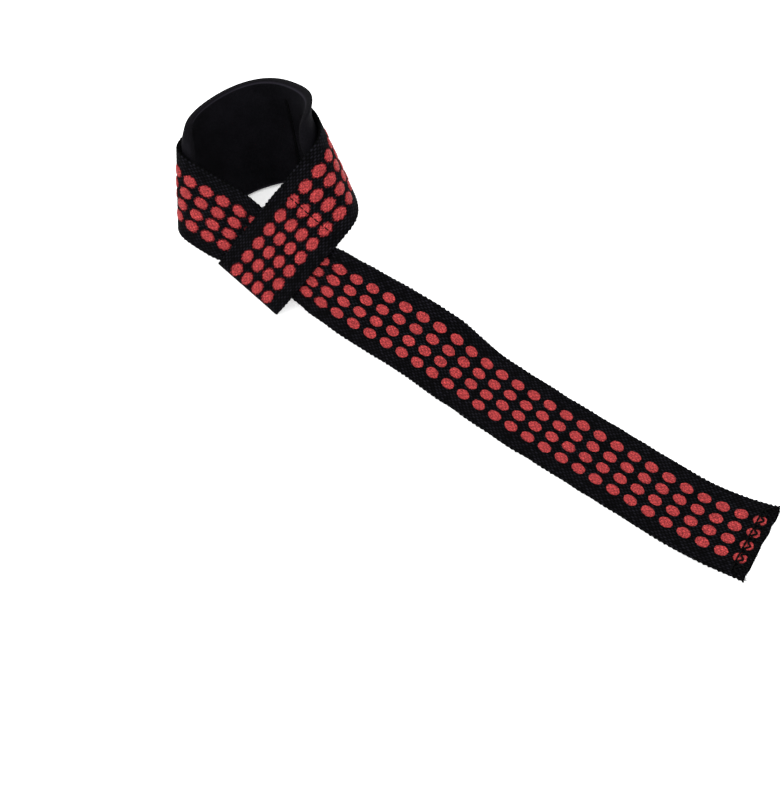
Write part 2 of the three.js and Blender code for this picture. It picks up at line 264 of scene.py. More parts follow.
# %% The tail from the eye to its cut end
TAIL_SETTLE = {
    "along": [0.00, 0.11, 0.19, 0.27, 0.34, 0.41, 0.52, 1.00],
    "lean": [1.00, 0.82, 0.72, 0.50, 0.15, 0.00, 0.00, 0.00],
    "lift": [1.00, 0.34, 0.08, 0.00, 0.00, 0.00, 0.00, 0.00],
    "drift": [1.00, 0.42, 0.02, -0.26, -0.36, -0.24, -0.06, 0.00],
}
TAIL_STEPS = 240
TAIL_START = -(HALF_LOOP + EYE_COVER)
FREE_TAIL = LOOP_BEGIN

start_line = loop_point(np.full(3, TAIL_START), np.array([-PROBE, 0, PROBE]), np.zeros(3))
start_point = start_line[1]
start_across = unit(start_line[2] - start_line[0])
START_LEAN = math.asin(start_across[2])


def edge_drop(lean):
    """How far the band's middle lies above its lowest corner when it leans."""
    return HALF_WIDTH * np.sin(lean) + HALF_THICKNESS * np.cos(lean)


START_LIFT = start_point[2] - edge_drop(START_LEAN)
tail_way = np.linspace(0, FREE_TAIL, TAIL_STEPS + 1)
tail_curl = np.clip(tail_way - (FREE_TAIL - CURL_LENGTH), 0, None) / CURL_RADIUS
tail_lean = START_LEAN * column(TAIL_SETTLE, "lean", tail_way / FREE_TAIL)
tail_lean = tail_lean + CURL_LEAN * smooth(tail_curl * CURL_RADIUS / CURL_LENGTH)
tail_z = START_LIFT * column(TAIL_SETTLE, "lift", tail_way / FREE_TAIL)
tail_z = tail_z + CURL_RADIUS * (1 - np.cos(tail_curl)) + edge_drop(tail_lean)
tail_y = start_point[1] + TAIL_DRIFT * (1 - column(TAIL_SETTLE, "drift", tail_way / FREE_TAIL))
tail_forward = (FREE_TAIL / TAIL_STEPS) ** 2 - np.diff(tail_y) ** 2 - np.diff(tail_z) ** 2
tail_x = start_point[0] + np.concatenate([[0], np.cumsum(np.sqrt(tail_forward))])
tail_line = np.stack([tail_x, tail_y, tail_z], axis=1)

tail_along = np.empty_like(tail_line)
tail_along[1:-1] = tail_line[2:] - tail_line[:-2]
tail_along[0] = tail_line[1] - tail_line[0]
tail_along[-1] = tail_line[-1] - tail_line[-2]
tail_along = unit(tail_along)
settled = np.stack([0 * tail_lean, np.cos(tail_lean), np.sin(tail_lean)], axis=1)
tail_across = start_across + (settled - start_across) * smooth(tail_way / TAIL_TURN)[:, None]
tail_across = unit(tail_across - tail_along * (tail_across * tail_along).sum(1)[:, None])
tail_out = np.cross(tail_along, tail_across)


def at_way(distance, rows):
    """A row of numbers for each step of the tail, read between the steps."""
    return np.stack([np.interp(distance, tail_way, rows[:, k]) for k in range(3)], axis=-1)


def tail_point(distance, w, out):
    across = unit(at_way(distance, tail_across)) * w[..., None]
    return at_way(distance, tail_line) + across + unit(at_way(distance, tail_out)) * out[..., None]


def band_point(q, w, out):
    """Any point of the band, as a tail before the eye and as a loop after it."""
    q, w, out = (np.array(v, float) for v in np.broadcast_arrays(q, w, out))
    distance = LOOP_BEGIN - q
    tail = tail_point(np.clip(distance, 0, None), w * gather(TAIL_START - distance), out)
    return np.where((q >= LOOP_BEGIN)[..., None], loop_band(q, w, out), tail)


print(f"the tail lies {FREE_TAIL:.1f} mm past the eye, and its end rises {tail_z[-1]:.1f} mm")

# %% [markdown]
# ## Meshes from grids
#
# Each surface is a grid of points. One helper joins the points of a grid with four-sided faces, one
# makes the object, and both work on whole arrays, so no point is handled on its own.

# %% Helpers that turn arrays into Blender objects


def grid_faces(rows, columns, wraps):
    """The faces between neighbouring rows and columns of a grid, whose last column may join on to
    its first one."""
    last_column = columns if wraps else columns - 1
    i, j = np.meshgrid(np.arange(rows - 1), np.arange(last_column), indexing="ij")
    after = (j + 1) % columns
    corners = [i * columns + j, i * columns + after, (i + 1) * columns + after, (i + 1) * columns + j]
    return np.stack(corners, axis=-1).reshape(-1, 4)


# In metres
SAME_PLACE = 0.5e-6


def make_piece(name, points, faces, material, **attributes):
    """An object whose mesh has these points, in millimetres, and a value or vector on each point
    for each named attribute. Points in the same place become one, so that poles and seams close."""
    mesh = bpy.data.meshes.new(name)
    mesh.from_pydata((points.reshape(-1, 3) * MM).tolist(), [], [list(face) for face in faces])
    mesh.materials.append(material)
    mesh.polygons.foreach_set("use_smooth", np.ones(len(mesh.polygons), bool))
    for label, values in attributes.items():
        is_vector = values.shape[-1:] == (3,)
        layer = mesh.attributes.new(label, "FLOAT_VECTOR" if is_vector else "FLOAT", "POINT")
        layer.data.foreach_set("vector" if is_vector else "value", values.astype(np.float32).ravel())
    shell = bmesh.new()
    shell.from_mesh(mesh)
    bmesh.ops.remove_doubles(shell, verts=shell.verts, dist=SAME_PLACE)
    shell.to_mesh(mesh)
    shell.free()
    mesh.validate()
    piece = bpy.data.objects.new(name, mesh)
    bpy.context.scene.collection.objects.link(piece)
    print(f"{name}: {sum(len(face) - 2 for face in faces)} triangles")
    return piece


def threads(name, paths, radii, sides, material):
    """Many threads at once: a circle of the given radii carried along each row of points, and a flat
    cap at each end."""
    count, steps = paths.shape[:2]
    along = unit(np.gradient(paths, axis=1))
    side = unit(np.cross(along, np.array([0.31, 0.52, 0.79])))
    up = np.cross(along, side)
    angle = np.arange(sides) * 2 * math.pi / sides
    radius = np.broadcast_to(radii, (count, steps))[..., None, None]
    circle = side[:, :, None] * np.cos(angle)[:, None] + up[:, :, None] * np.sin(angle)[:, None]
    points = paths[:, :, None] + circle * radius
    one_thread = grid_faces(steps, sides, wraps=True)
    caps = [list(range(sides))[::-1], list(range((steps - 1) * sides, steps * sides))]
    faces = [face + k * steps * sides for k in range(count) for face in one_thread]
    faces += [[v + k * steps * sides for v in cap] for k in range(count) for cap in caps]
    return make_piece(name, points, faces, material)


# %% [markdown]
# ## Colours and node helpers
#
# Colours are written as they look on a screen, and one function turns them to the linear values that
# the shader works with. One small function adds a node with its settings and links.

# %% Colour and node helpers


def srgb(code):
    """A colour such as "#C4474A" as linear red, green, blue and 1."""
    shown = np.array([int(code[k:k + 2], 16) for k in (1, 3, 5)]) / 255
    linear = np.where(shown <= 0.04045, shown / 12.92, ((shown + 0.055) / 1.055) ** 2.4)
    return (*linear.tolist(), 1.0)


def add(tree, kind, inputs=(), **settings):
    """Adds one node: settings are its own properties, and inputs are pairs of a socket and what it
    gets, which is a number, a colour or another node's output."""
    node = tree.nodes.new("ShaderNode" + kind)
    for name, value in settings.items():
        setattr(node, name, value)
    for socket, value in inputs:
        if isinstance(value, bpy.types.NodeSocket):
            tree.links.new(value, node.inputs[socket])
        else:
            node.inputs[socket].default_value = value
    return node


def mix(tree, share, first, second):
    """The first colour where the share is 0, the second where it is 1, and between them otherwise."""
    inputs = [(0, share), (6, first), (7, second)]
    return add(tree, "Mix", inputs, data_type="RGBA").outputs[2]


def times(tree, value, factor):
    """The product of two values."""
    return add(tree, "Math", [(0, value), (1, factor)], operation="MULTIPLY").outputs[0]


def new_material(name, **sockets):
    """A material with an empty Principled shader, and its tree."""
    material = bpy.data.materials.new(name)
    material.use_nodes = True
    tree = material.node_tree
    shader = tree.nodes["Principled BSDF"]
    for socket, value in sockets.items():
        shader.inputs[socket.replace("_", " ")].default_value = value
    return material, tree, shader


# %% [markdown]
# ## The weave
#
# The webbing is a plain weave: each yarn goes over one and under the next, and the next yarn does the
# opposite. On the face this shows as rows of small grains, each row shifted by half a grain. The same
# formula is used twice, once to move the mesh and once in the materials, so that the painted shade in
# the gaps, the painted highlight on the tops, the finish and the shape of each grain fall together.

# %% The grains of the weave, as a formula and as nodes
YARN_ROW = 1.0
GRAIN_PITCH = 2.4
RELIEF = 0.16


def grain(q, w):
    """1 on top of a grain and 0 in the gaps: a cosine along the band, shifted by half a pitch in
    every other row, times a sine across the row."""
    phase = q / GRAIN_PITCH + 0.5 * np.mod(np.floor(w / YARN_ROW), 2)
    along = 0.5 + 0.5 * np.cos(2 * math.pi * phase)
    return np.sqrt(along) * np.abs(np.sin(math.pi * w / YARN_ROW))


def grain_nodes(tree):
    """The same grains from the attribute that holds q, w and out, with a random number for each."""
    place = add(tree, "Attribute", attribute_name="band")
    split = add(tree, "SeparateXYZ", [(0, place.outputs["Vector"])])
    rows = add(tree, "Math", [(0, split.outputs[1]), (1, YARN_ROW)], operation="DIVIDE").outputs[0]
    row = add(tree, "Math", [(0, rows)], operation="FLOOR").outputs[0]
    odd = add(tree, "Math", [(0, row), (1, 2.0)], operation="FLOORED_MODULO").outputs[0]
    steps = add(tree, "Math", [(0, split.outputs[0]), (1, GRAIN_PITCH)], operation="DIVIDE").outputs[0]
    phase = add(tree, "Math", [(0, odd), (1, 0.5), (2, steps)], operation="MULTIPLY_ADD").outputs[0]
    turn = times(tree, phase, 2 * math.pi)
    wave = add(tree, "Math", [(0, turn)], operation="COSINE").outputs[0]
    along = add(tree, "Math", [(0, wave), (1, 0.5), (2, 0.5)], operation="MULTIPLY_ADD").outputs[0]
    bend = add(tree, "Math", [(0, rows), (1, math.pi)], operation="MULTIPLY").outputs[0]
    swell = add(tree, "Math", [(0, bend)], operation="SINE").outputs[0]
    across = add(tree, "Math", [(0, swell)], operation="ABSOLUTE").outputs[0]
    soft = add(tree, "Math", [(0, along), (1, 0.5)], operation="POWER").outputs[0]
    height = times(tree, soft, across)
    middle = add(tree, "Math", [(0, phase), (1, 0.5)], operation="ADD").outputs[0]
    cell = add(tree, "Math", [(0, middle)], operation="FLOOR").outputs[0]
    key = add(tree, "CombineXYZ", [(0, cell), (1, row), (2, 0.0)]).outputs[0]
    chance = add(tree, "TexWhiteNoise", [("Vector", key)], noise_dimensions="3D").outputs["Value"]
    return height, chance


# %% [markdown]
# ## Black cotton webbing
#
# Dyed cotton is matt and soft. The tops of its grains are painted lighter, as a highlight, and the gaps
# between them are painted nearly black, as shade. Single yarns took the dye unevenly, and fine loose
# fibres blur the surface. Where the red dots were printed, a little ink ran along the yarns, so red
# specks surround them.

# %% Webbing material
INK_DARK = srgb("#84262A")

cotton, tree, shader = new_material("dyed_cotton_webbing", Roughness=0.9, Specular_IOR_Level=0.03)
height, chance = grain_nodes(tree)
where = add(tree, "TexCoord").outputs["Object"]
fibres = add(tree, "TexNoise", [("Vector", where), ("Scale", 3200.0), ("Detail", 3.0)]).outputs["Fac"]
uneven = add(tree, "TexNoise", [("Vector", where), ("Scale", 90.0), ("Detail", 2.0)]).outputs["Fac"]
yarn = add(tree, "MapRange", [(0, chance), (3, 0.2), (4, 1.0)]).outputs[0]
# The grain's height paints a highlight on the grain tops and shade in the gaps between them
painted_grain_shading = add(tree, "Math", [(0, height), (1, 1.8)], operation="POWER").outputs[0]
grain_shading_and_dye = times(tree, painted_grain_shading, yarn)
fuzzy = add(tree, "MapRange", [(0, fibres), (1, 0.3), (2, 0.7), (3, 0.6), (4, 1.25)]).outputs[0]
worn = add(tree, "MapRange", [(0, uneven), (1, 0.3), (2, 0.7), (3, 0.8), (4, 1.15)]).outputs[0]
painted_shading_and_tone = times(tree, grain_shading_and_dye, fuzzy)
painted_shading_and_tone = add(tree, "Math", [(0, painted_shading_and_tone), (1, worn)], operation="MULTIPLY", use_clamp=True).outputs[0]
# Nearly black in the painted shade of the gaps and lighter under the painted highlight on the tops, with
# the yarns' uneven dye and the fibres
black = mix(tree, painted_shading_and_tone, srgb("#010101"), srgb("#1D1C22"))
ran = add(tree, "Attribute", attribute_name="bleed").outputs["Fac"]
speck = add(tree, "TexNoise", [("Vector", where), ("Scale", 900.0), ("Detail", 2.0)]).outputs["Fac"]
speck = times(tree, speck, ran)
speck = add(tree, "MapRange", [(0, speck), (1, 0.33), (2, 0.42)]).outputs[0]
speck = times(tree, speck, height)
stained = mix(tree, speck, black, INK_DARK)
tree.links.new(stained, shader.inputs["Base Color"])
rough = add(tree, "Math", [(0, fibres), (1, 0.35), (2, 0.0)], operation="MULTIPLY_ADD").outputs[0]
bumps = add(tree, "Math", [(0, height), (1, rough)], operation="ADD").outputs[0]
bump = add(tree, "Bump", [("Strength", 0.8), ("Distance", 0.0002), ("Height", bumps)])
tree.links.new(bump.outputs[0], shader.inputs["Normal"])

# %% [markdown]
# ## The band as a mesh
#
# A ring of points goes round the band's section: the printed face with its relief, a rounded edge,
# the plain inner face and the other edge. The ring is carried along the band in steps of a quarter
# of a grain. The edges swell a little at every turn of the weft, as woven edges do, and the cut end
# is uneven.

# %% The webbing
rng = np.random.default_rng(7)
FACE_HALF = 18.5
EDGE_SWELL = 0.26
EDGE_WANDER = 0.14
WANDER_STEP = 7
CUT_RAGGED = 0.3
CUT_BACK = 0.35
CORNER_WEAR = 0.7
NEAR_CORNER_SHARE = 0.1
CORNER_BEGIN = 15.5
END_SPREAD = 1.0
END_REACH = 3.0
RANDOM_REACH = 620
EDGE_SECTION = [(18.82, 0.72), (19.0, 0.25), (19.0, -0.25), (18.82, -0.72)]

face_w = np.arange(-FACE_HALF, FACE_HALF + 0.01, YARN_ROW / 2)
inner_w = np.linspace(FACE_HALF, -FACE_HALF, 13)
right_edge = np.array(EDGE_SECTION)
left_edge = right_edge[::-1] * [-1, 1]
ring_w = np.concatenate([face_w, right_edge[:, 0], inner_w, left_edge[:, 0]])
ring_out = np.concatenate([0 * face_w + 1, right_edge[:, 1], 0 * inner_w - 1, left_edge[:, 1]])
is_face = np.arange(len(ring_w)) < len(face_w)
is_edge = np.abs(ring_w) > FACE_HALF

band_q = np.append(np.arange(0, BAND_LENGTH, GRAIN_PITCH / 4), BAND_LENGTH)
q, w = np.meshgrid(band_q, ring_w, indexing="ij")
out = np.broadcast_to(ring_out * HALF_THICKNESS, q.shape).copy()
out -= RELIEF * (1 - grain(q, w)) * is_face
weft_turns = np.arange(0, RANDOM_REACH, GRAIN_PITCH)
turn_size = np.interp(q, weft_turns, rng.uniform(0.2, 1.5, len(weft_turns)))
swell = EDGE_SWELL * turn_size * np.cos(2 * math.pi * q / GRAIN_PITCH) * is_edge
wander_places = np.arange(0, RANDOM_REACH, WANDER_STEP)
swell += EDGE_WANDER * np.interp(q, wander_places, rng.normal(0, 1, len(wander_places))) * is_edge
cut_places = np.linspace(-20, 20, 34)
cut_wave = np.interp(ring_w, cut_places, rng.normal(0, CUT_RAGGED, len(cut_places)))


def corner_wear(w):
    """How far the cut end's corners have worn back: the one on the far side most of all."""
    on_corner = smooth((np.abs(w) - CORNER_BEGIN) / (HALF_WIDTH - CORNER_BEGIN))
    return CORNER_WEAR * on_corner**2 * np.where(w > 0, 1, NEAR_CORNER_SHARE)


cut_q = q + (CUT_BACK + cut_wave + corner_wear(ring_w)) * np.exp(-q / 2.5)
spread_w = w * (1 + END_SPREAD / HALF_WIDTH * np.exp(-q / END_REACH))
points = band_point(cut_q, spread_w + np.sign(w) * swell, out)


def beside_dots(q, w):
    """1 at the rim of the nearest printed dot, falling to 0 half a dot further out."""
    dq = np.mod(q - END_MARGIN + COLUMN_PITCH / 2, COLUMN_PITCH) - COLUMN_PITCH / 2
    row = np.clip(np.round(w / ROW_PITCH + 1.5), 0, DOT_ROWS - 1)
    dw = w - (row - 1.5) * ROW_PITCH
    reach = np.hypot(dq / (DOT_LENGTH / 2), dw / (DOT_WIDTH / 2))
    return smooth(1 - (reach - 1) / 0.5)


ran_more = 0.5 + 0.5 * smooth((q - LOOP_BEGIN + 30) / 40)
bleed = beside_dots(q, w) * ran_more * is_face
faces = grid_faces(len(band_q), len(ring_w), wraps=True).tolist()
last = (len(band_q) - 1) * len(ring_w)
faces.append(list(range(len(ring_w)))[::-1])
faces.append([last + k for k in range(len(ring_w))])
webbing = make_piece("webbing", points, faces, cotton, band=np.stack([q, w, out], axis=-1), bleed=bleed)

# %% [markdown]
# ## Silicone dots
#
# The dots are silicone ink, pressed on through a screen and cured. Each is a low oval cushion with a
# ragged rim, because the ink follows the yarns at its border, and the weave shows through it as a
# mottled surface whose hollows are painted darker, as shade. All dots are one mesh: rings of points
# about each centre, from the rim inwards.

# %% The printed dots
AROUND = 26
PROFILE = [(1.0, -0.22), (0.96, 0.12), (0.88, 0.30), (0.7, 0.38), (0.48, 0.42), (0.24, 0.44)]
SHOW_THROUGH = 0.13

silicone, tree, shader = new_material("printed_silicone", Roughness=0.6, Specular_IOR_Level=0.08)
height, chance = grain_nodes(tree)
where = add(tree, "TexCoord").outputs["Object"]
mottle = add(tree, "TexNoise", [("Vector", where), ("Scale", 2100.0), ("Detail", 3.0)]).outputs["Fac"]
cloud = add(tree, "TexNoise", [("Vector", where), ("Scale", 420.0), ("Detail", 2.0)]).outputs["Fac"]
light = add(tree, "MapRange", [(0, mottle), (1, 0.4), (2, 0.58)]).outputs[0]
# Painted shade: the red is darker over the weave's hollows, lightest on the grain tops, and the share named
# light carries this shade
painted_hollow_shade = add(tree, "MapRange", [(0, height), (3, 0.35), (4, 1.0)]).outputs[0]
light = times(tree, light, painted_hollow_shade)
patch = add(tree, "MapRange", [(0, cloud), (1, 0.3), (2, 0.7), (3, 0.75), (4, 1.2)]).outputs[0]
light = add(tree, "Math", [(0, light), (1, patch)], operation="MULTIPLY", use_clamp=True).outputs[0]
red = mix(tree, light, srgb("#5A161A"), srgb("#C84746"))
tree.links.new(red, shader.inputs["Base Color"])
bumps = add(tree, "Math", [(0, height), (1, mottle)], operation="ADD").outputs[0]
bump = add(tree, "Bump", [("Strength", 0.6), ("Distance", 0.00012), ("Height", bumps)])
tree.links.new(bump.outputs[0], shader.inputs["Normal"])

column_count = int((BAND_LENGTH - END_MARGIN) / COLUMN_PITCH + 0.5)
dot_q = END_MARGIN + COLUMN_PITCH * np.arange(column_count)
dot_q = dot_q[(dot_q < FOLD_BEGIN) | (dot_q > UNDER_BEGIN)]
dot_w = (np.arange(DOT_ROWS) - (DOT_ROWS - 1) / 2) * ROW_PITCH
centre_q, centre_w = (v.reshape(-1, 1, 1) for v in np.meshgrid(dot_q, dot_w, indexing="ij"))
angle = np.arange(AROUND) * 2 * math.pi / AROUND
ragged = 1 + rng.normal(0, 0.028, (centre_q.size, 1, AROUND))
shares, heights = np.array(PROFILE).T.reshape(2, 1, -1, 1)
spread = shares * (1 + (ragged - 1) * shares ** 4)
dots_q = centre_q + spread * np.cos(angle) * DOT_LENGTH / 2
dots_w = centre_w + spread * np.sin(angle) * DOT_WIDTH / 2
sunk = SHOW_THROUGH * (1 - grain(dots_q, dots_w))
dots_out = HALF_THICKNESS + heights - np.where(heights > 0, sunk, 0)
points = band_point(dots_q, dots_w, dots_out)
ring_faces = grid_faces(len(PROFILE), AROUND, wraps=True)
crown = list(range((len(PROFILE) - 1) * AROUND, len(PROFILE) * AROUND))
size = len(PROFILE) * AROUND
faces = [(face[::-1] + k * size).tolist() for k in range(centre_q.size) for face in ring_faces]
faces += [[v + k * size for v in crown[::-1]] for k in range(centre_q.size)]
faces += [[v + k * size for v in range(AROUND)] for k in range(centre_q.size)]
place = np.stack([dots_q, dots_w, dots_out], axis=-1)
dots = make_piece("grip_dots", points, faces, silicone, band=place)

# %% [markdown]
# ## The foam pad
#
# The pad is a sheet of foam rubber with a fine knitted skin on both faces, cut out with round
# corners. It is stiffer than the webbing, so its ends stand off it and its upper lip leans out over
# it. Its cut edge shows the bare foam, and a lighter line is painted as a highlight along the corner
# where the cut meets the inner face. One sewn line crosses it and pulls a groove into it, and the
# groove is painted darker, as shade.

# %% The pad
PAD_SECTIONS = {
    "along": [0.00, 0.10, 0.24, 0.40, 0.62, 0.76, 0.88, 1.00],
    "standOff": [0.10, 0.10, 0.10, 0.00, 0.00, 0.10, 0.50, 1.20],
    "flare": [-0.20, -0.60, -0.30, 0.00, 0.60, 1.30, 0.60, 0.00],
}
PAD_EDGE = 1.1
GROOVE_PLACE = 12.8
GROOVE_SLANT = 0.17
GROOVE_WIDTH = 1.1
GROOVE_DEPTH = 1.1
GROOVE_TOP = 20.8


def pad_point(s, w, out):
    """A point of the pad, s along it from its own middle: just inside the loop by its clearance,
    further where the pad stands off, and less where the part above the webbing leans out."""
    share = s / PAD_LENGTH + 0.5
    free = PAD_WIDTH / 2 - HALF_WIDTH - CLEARANCE
    lip = np.clip(w - HALF_WIDTH - CLEARANCE, 0, None) / free
    stand = column(PAD_SECTIONS, "standOff", share) - lip**2 * column(PAD_SECTIONS, "flare", share)
    inside = HALF_THICKNESS + CLEARANCE + PAD_THICKNESS / 2 + stand * PAD_THICKNESS
    return loop_point(s + PAD_SHIFT, w, out - inside)


def groove(s, w):
    """Depth of the sewn groove: a narrow bell across it, which fades out at its two ends."""
    bell = np.exp(-(((s - GROOVE_PLACE - GROOVE_SLANT * w) / GROOVE_WIDTH) ** 2))
    return bell * smooth((GROOVE_TOP - np.abs(w)) / 1.2)


def rounded_outline(half_s, half_w, radius, step):
    """Points and the directions that face out of them round a rectangle with round corners: each
    quarter circle is followed by the straight side that leads to the next one."""
    centres = np.array([[1, 1], [-1, 1], [-1, -1], [1, -1]]) * [half_s - radius, half_w - radius]
    stretches = []
    for k, centre in enumerate(centres):
        facing = k * math.pi / 2 + np.linspace(0, math.pi / 2, 26)
        outward = np.stack([np.cos(facing), np.sin(facing)], axis=1)
        arc = np.hstack([centre + radius * outward, outward])
        side = centres[(k + 1) % 4] - centre
        count = int(np.linalg.norm(side) / step)
        shares = np.arange(1, count)[:, None] / count
        straight = np.hstack([arc[-1, :2] + shares * side, np.broadcast_to(outward[-1], (count - 1, 2))])
        stretches += [arc, straight]
    return np.concatenate(stretches)


outline = rounded_outline(PAD_LENGTH / 2, PAD_WIDTH / 2, PAD_CORNER, step=0.45)
rim_s, rim_w, face_s, face_w2 = outline.T
spine_s = np.clip(rim_s, PAD_WIDTH / 2 - PAD_LENGTH / 2, PAD_LENGTH / 2 - PAD_WIDTH / 2)

# From the middle of the inner face out to the edge, round it and back to the middle of the outer face
bend = np.linspace(0, math.pi / 2, 5)
across_face = np.append(np.linspace(0, 1, 18)[:-1], 0.98)
level = np.ones(len(across_face))
reach = np.concatenate([across_face, np.ones(5)])
inset = PAD_EDGE * np.concatenate([level, 1 - np.sin(bend)])
depth = PAD_EDGE * np.concatenate([0 * level, 1 - np.cos(bend)]) - PAD_THICKNESS / 2
cut = np.concatenate([0 * level, [0.0, 0.6, 1.0, 1.0, 1.0]])
# lip marks the corner between the inner face and the cut edge, where a lighter line is painted as a
# highlight
lip = np.concatenate([0 * level, [1.0, 0.4, 0.0, 0.0, 0.0]])
reach, inset = np.concatenate([reach, reach[::-1]]), np.concatenate([inset, inset[::-1]])
depth, cut = np.concatenate([depth, -depth[::-1]]), np.concatenate([cut, cut[::-1]])
lip = np.concatenate([lip, 0 * lip])

pad_s = spine_s + reach[:, None] * (rim_s - face_s * inset[:, None] - spine_s)
pad_w = reach[:, None] * (rim_w - face_w2 * inset[:, None])
pad_out = np.broadcast_to(depth[:, None], pad_s.shape).copy()
# The groove's share both dents the inner face and paints shade into the groove
seam = groove(pad_s, pad_w) * (pad_out < 0.01 - PAD_THICKNESS / 2)
pad_out += GROOVE_DEPTH * seam
points = pad_point(pad_s, pad_w, pad_out)
faces = grid_faces(len(reach), len(outline), wraps=True)[:, ::-1]

# %% [markdown]
# The pad's material follows the same thought as the webbing's: a matt black skin, knitted so finely
# that it only shows as a soft grain, and a cut edge of foam with open cells, which scatters more
# light than the skin does.

# %% Pad material and object
foam, tree, shader = new_material("foam_with_knitted_skin", Roughness=0.85, Specular_IOR_Level=0.04)
where = add(tree, "TexCoord").outputs["Object"]
knit = add(tree, "TexNoise", [("Vector", where), ("Scale", 2600.0), ("Detail", 2.0)]).outputs["Fac"]
cells = add(tree, "TexVoronoi", [("Vector", where), ("Scale", 1500.0)]).outputs["Distance"]
nap = add(tree, "TexNoise", [("Vector", where), ("Scale", 60.0), ("Detail", 3.0)]).outputs["Fac"]
is_cut = add(tree, "Attribute", attribute_name="cut").outputs["Fac"]
tone = times(tree, knit, nap)
tone = add(tree, "MapRange", [(0, tone), (1, 0.12), (2, 0.4)]).outputs[0]
skin = mix(tree, tone, srgb("#020203"), srgb("#0F0E12"))
open_cells = add(tree, "MapRange", [(0, cells), (1, 0.1), (2, 0.6)]).outputs[0]
bare = mix(tree, open_cells, srgb("#030304"), srgb("#0C0B0E"))
black = mix(tree, is_cut, skin, bare)
# A lighter line along the corner of the inner face and the cut edge: a painted highlight
painted_edge_highlight = add(tree, "Attribute", attribute_name="lip").outputs["Fac"]
black = mix(tree, painted_edge_highlight, black, srgb("#222026"))
# The sewn groove is painted darker: painted shade
in_seam = add(tree, "Attribute", attribute_name="seam").outputs["Fac"]
black = mix(tree, in_seam, black, srgb("#010101"))
tree.links.new(black, shader.inputs["Base Color"])
bumps = add(tree, "Mix", [(0, is_cut), (2, knit), (3, cells)], data_type="FLOAT").outputs[0]
bump = add(tree, "Bump", [("Strength", 0.5), ("Distance", 0.00012), ("Height", bumps)])
tree.links.new(bump.outputs[0], shader.inputs["Normal"])

cut, lip = (np.broadcast_to(line[:, None], pad_s.shape) for line in (cut, lip))
pad = make_piece("wrist_pad_foam", points, faces.tolist(), foam, cut=cut, lip=lip, seam=seam)

# %% [markdown]
# ## Stitches
#
# Black polyester thread closes the eye, holds the pad and binds the tail's cut end. A stitch is a
# short thread that comes up out of the cloth, arches over it and goes down again, so each is a thin
# tube on a line whose ends lie below the surface. The bar near the cut end is sewn over the last
# dots, and its threads are made thicker, so that they break up the red as the real ones do.

# %% Rows of stitches
thread, tree, shader = new_material("black_polyester_thread", Roughness=0.7, Specular_IOR_Level=0.04)
where = add(tree, "TexCoord").outputs["Object"]
ply = add(tree, "TexNoise", [("Vector", where), ("Scale", 4000.0), ("Detail", 2.0)]).outputs["Fac"]
shade = mix(tree, ply, srgb("#010101"), srgb("#060607"))
tree.links.new(shade, shader.inputs["Base Color"])

STITCH_STEPS = np.linspace(0, 1, 9)
THREAD_RADIUS = 0.32
STITCH_ARCH = 0.3
BAR_THICKER = 1.6
BAR_ARCH = 0.2


def stitch_lines(surface, starts, ends, level, arch):
    """Each stitch's line: straight from start to end on the surface, and over it a half sine."""
    along = starts[:, None] + (ends - starts)[:, None] * STITCH_STEPS[:, None]
    lift = level + arch * np.sin(math.pi * STITCH_STEPS)
    return surface(along[..., 0], along[..., 1], np.broadcast_to(lift, along.shape[:2]))


def straight_row(place, first, last, pitch, length):
    """Starts and ends of stitches in a row across the band at one place along it."""
    w = np.arange(first, last - length, pitch)
    starts = np.stack([0 * w + place, w], axis=1)
    return starts, starts + [0, length]


def zigzag_row(near, far, first, last, pitch):
    """Starts and ends of slanting stitches that go to and fro between two places."""
    w = np.arange(first, last, pitch)
    place = np.where(np.arange(len(w)) % 2 == 0, near, far)
    corners = np.stack([place, w], axis=1)
    return corners[:-1], corners[1:]


eye_place = HALF_LOOP - STITCH_PLACE + FOLD_BEGIN - TURN_PLACE
pad_place = GROOVE_PLACE + PAD_SHIFT + FOLD_BEGIN - TURN_PLACE
on_band = HALF_THICKNESS - 0.12
on_dots = on_band + 0.5
lines = [
    stitch_lines(band_point, *straight_row(eye_place, -17.6, 17.8, 3.0, 2.75), on_band + 0.22, STITCH_ARCH),
    stitch_lines(band_point, *straight_row(pad_place, -17.2, 17.4, 3.2, 2.8), on_band, STITCH_ARCH),
    stitch_lines(band_point, *zigzag_row(1.0, 3.2, -17.0, 17.2, 1.1), on_band, STITCH_ARCH),
]
radii = THREAD_RADIUS * (0.4 + 0.6 * np.sqrt(np.sin(math.pi * STITCH_STEPS)))
seams = threads("band_stitches", np.concatenate(lines), radii, 8, thread)
bar_lines = [
    stitch_lines(band_point, *straight_row(6.7, -17.4, 17.6, 2.2, 2.15), on_dots, BAR_ARCH),
    stitch_lines(band_point, *zigzag_row(3.7, 6.1, -17.2, 17.4, 1.7), on_dots, BAR_ARCH),
]
bar = threads("end_bar_stitches", np.concatenate(bar_lines), radii * BAR_THICKER, 8, thread)

pad_level = GROOVE_DEPTH - PAD_THICKNESS / 2 + 0.1
pad_starts, pad_ends = straight_row(GROOVE_PLACE, -20.0, 20.0, 3.3, 2.7)
pad_starts = pad_starts + GROOVE_SLANT * pad_starts[:, 1:] * [1, 0]
pad_ends = pad_ends + GROOVE_SLANT * pad_ends[:, 1:] * [1, 0]
pad_lines = stitch_lines(pad_point, pad_starts, pad_ends, pad_level, -0.45)
pad_seam = threads("pad_stitches", pad_lines, radii, 8, thread)

# %% [markdown]
# ## Loose fibres
#
# Cut webbing frays: yarn ends stand out of the cut, longer at its two corners, and fine fibres stand
# out along both edges. They are threads as well, each bent one way by a random amount.

